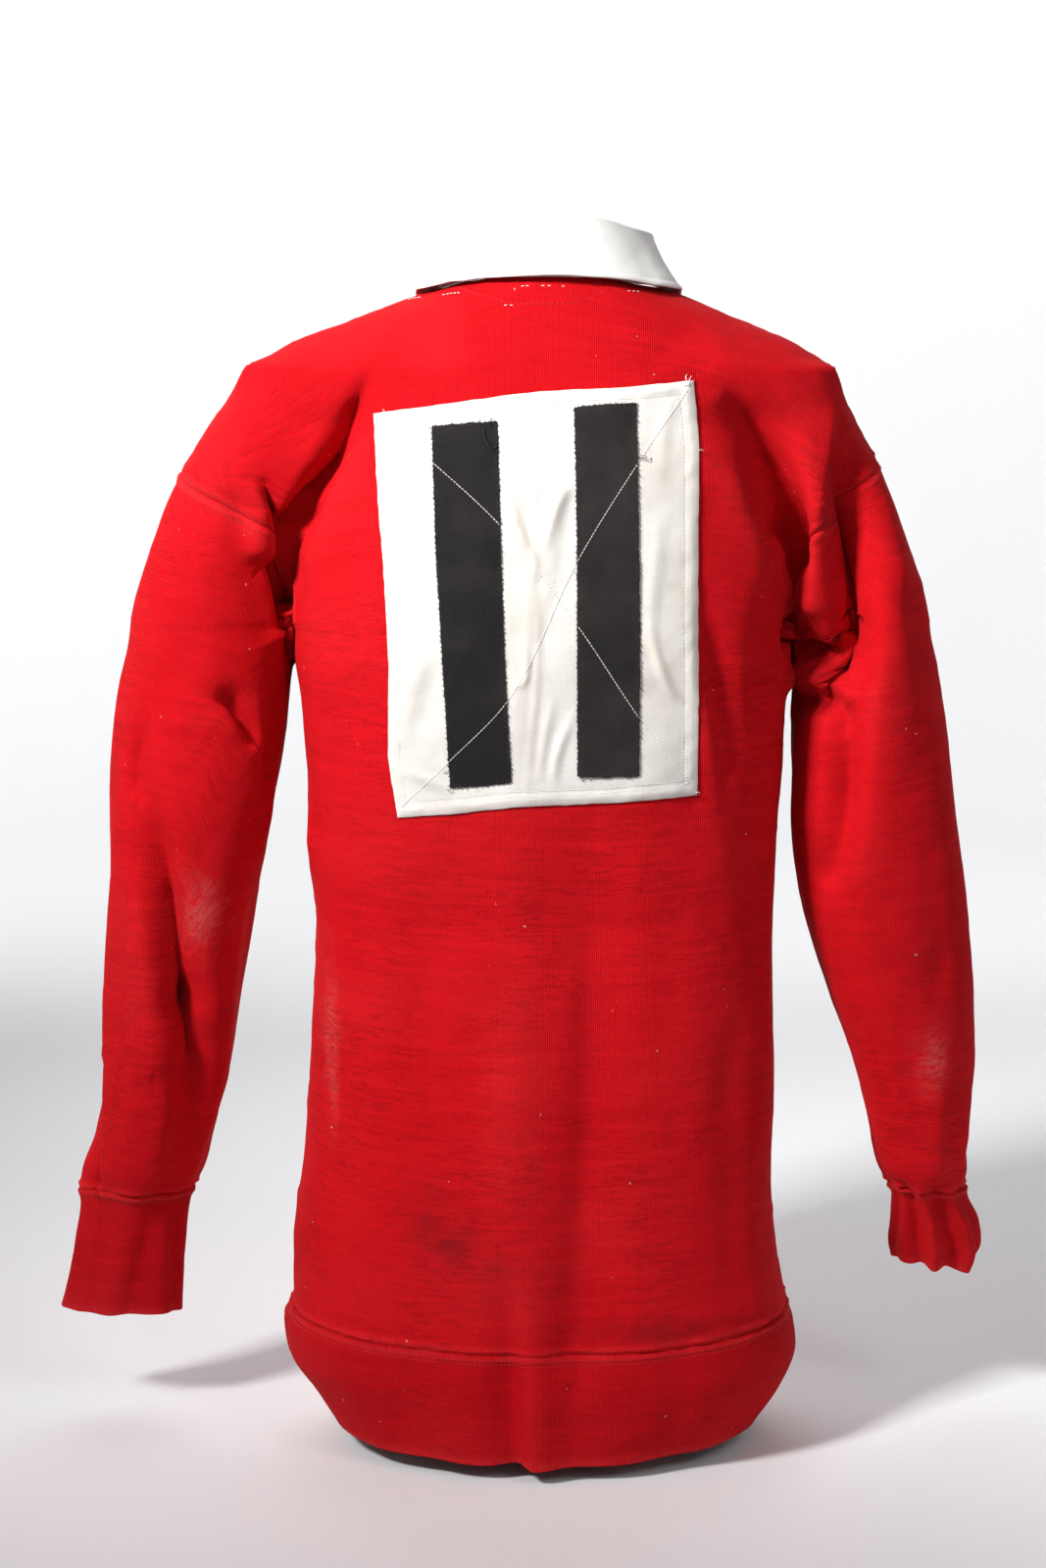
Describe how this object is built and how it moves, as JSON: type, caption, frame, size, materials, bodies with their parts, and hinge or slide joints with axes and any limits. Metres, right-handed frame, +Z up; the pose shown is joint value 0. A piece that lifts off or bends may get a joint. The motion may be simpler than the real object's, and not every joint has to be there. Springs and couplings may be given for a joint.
{
  "type": "rugby shirt",
  "caption": "Long-sleeved rugby shirt in heavy red cotton, worn-out hollow form, with a white turned-down collar, ribbed cuffs and hem band, and a cloth number patch on the back.",
  "frame": {"origin": "middle of the neck opening, 3.5 mm below the inner ends of the shoulder seams, where the wearer's neck passes through", "axes": "+Z up the body, the shirt's front faces -Y and its back +Y, the wearer's left arm is on +X"},
  "size_m": [0.6761, 0.2537, 0.8449],
  "materials": {
    "jersey": "heavy knitted cotton jersey, matt, slightly fuzzy",
    "rib": "knitted cotton rib, matt",
    "drill": "white woven cotton drill, matt",
    "calico": "washed off-white woven cotton, matt",
    "twill": "faded black cotton twill, matt",
    "rubber": "off-white moulded rubber, satin"
  },
  "bodies": {
    "root": {"back": "jersey", "front": "jersey", "sleeve_left": "jersey", "sleeve_right": "jersey", "cuff_left": "rib", "cuff_right": "rib", "hem_band_back": "rib", "hem_band_front": "rib", "collar": "drill", "placket": "drill", "button_1": "rubber", "button_2": "rubber", "button_3": "rubber", "number_patch": "calico", "number_bar_left": "twill", "number_bar_right": "twill"}
  },
  "joints": []
}
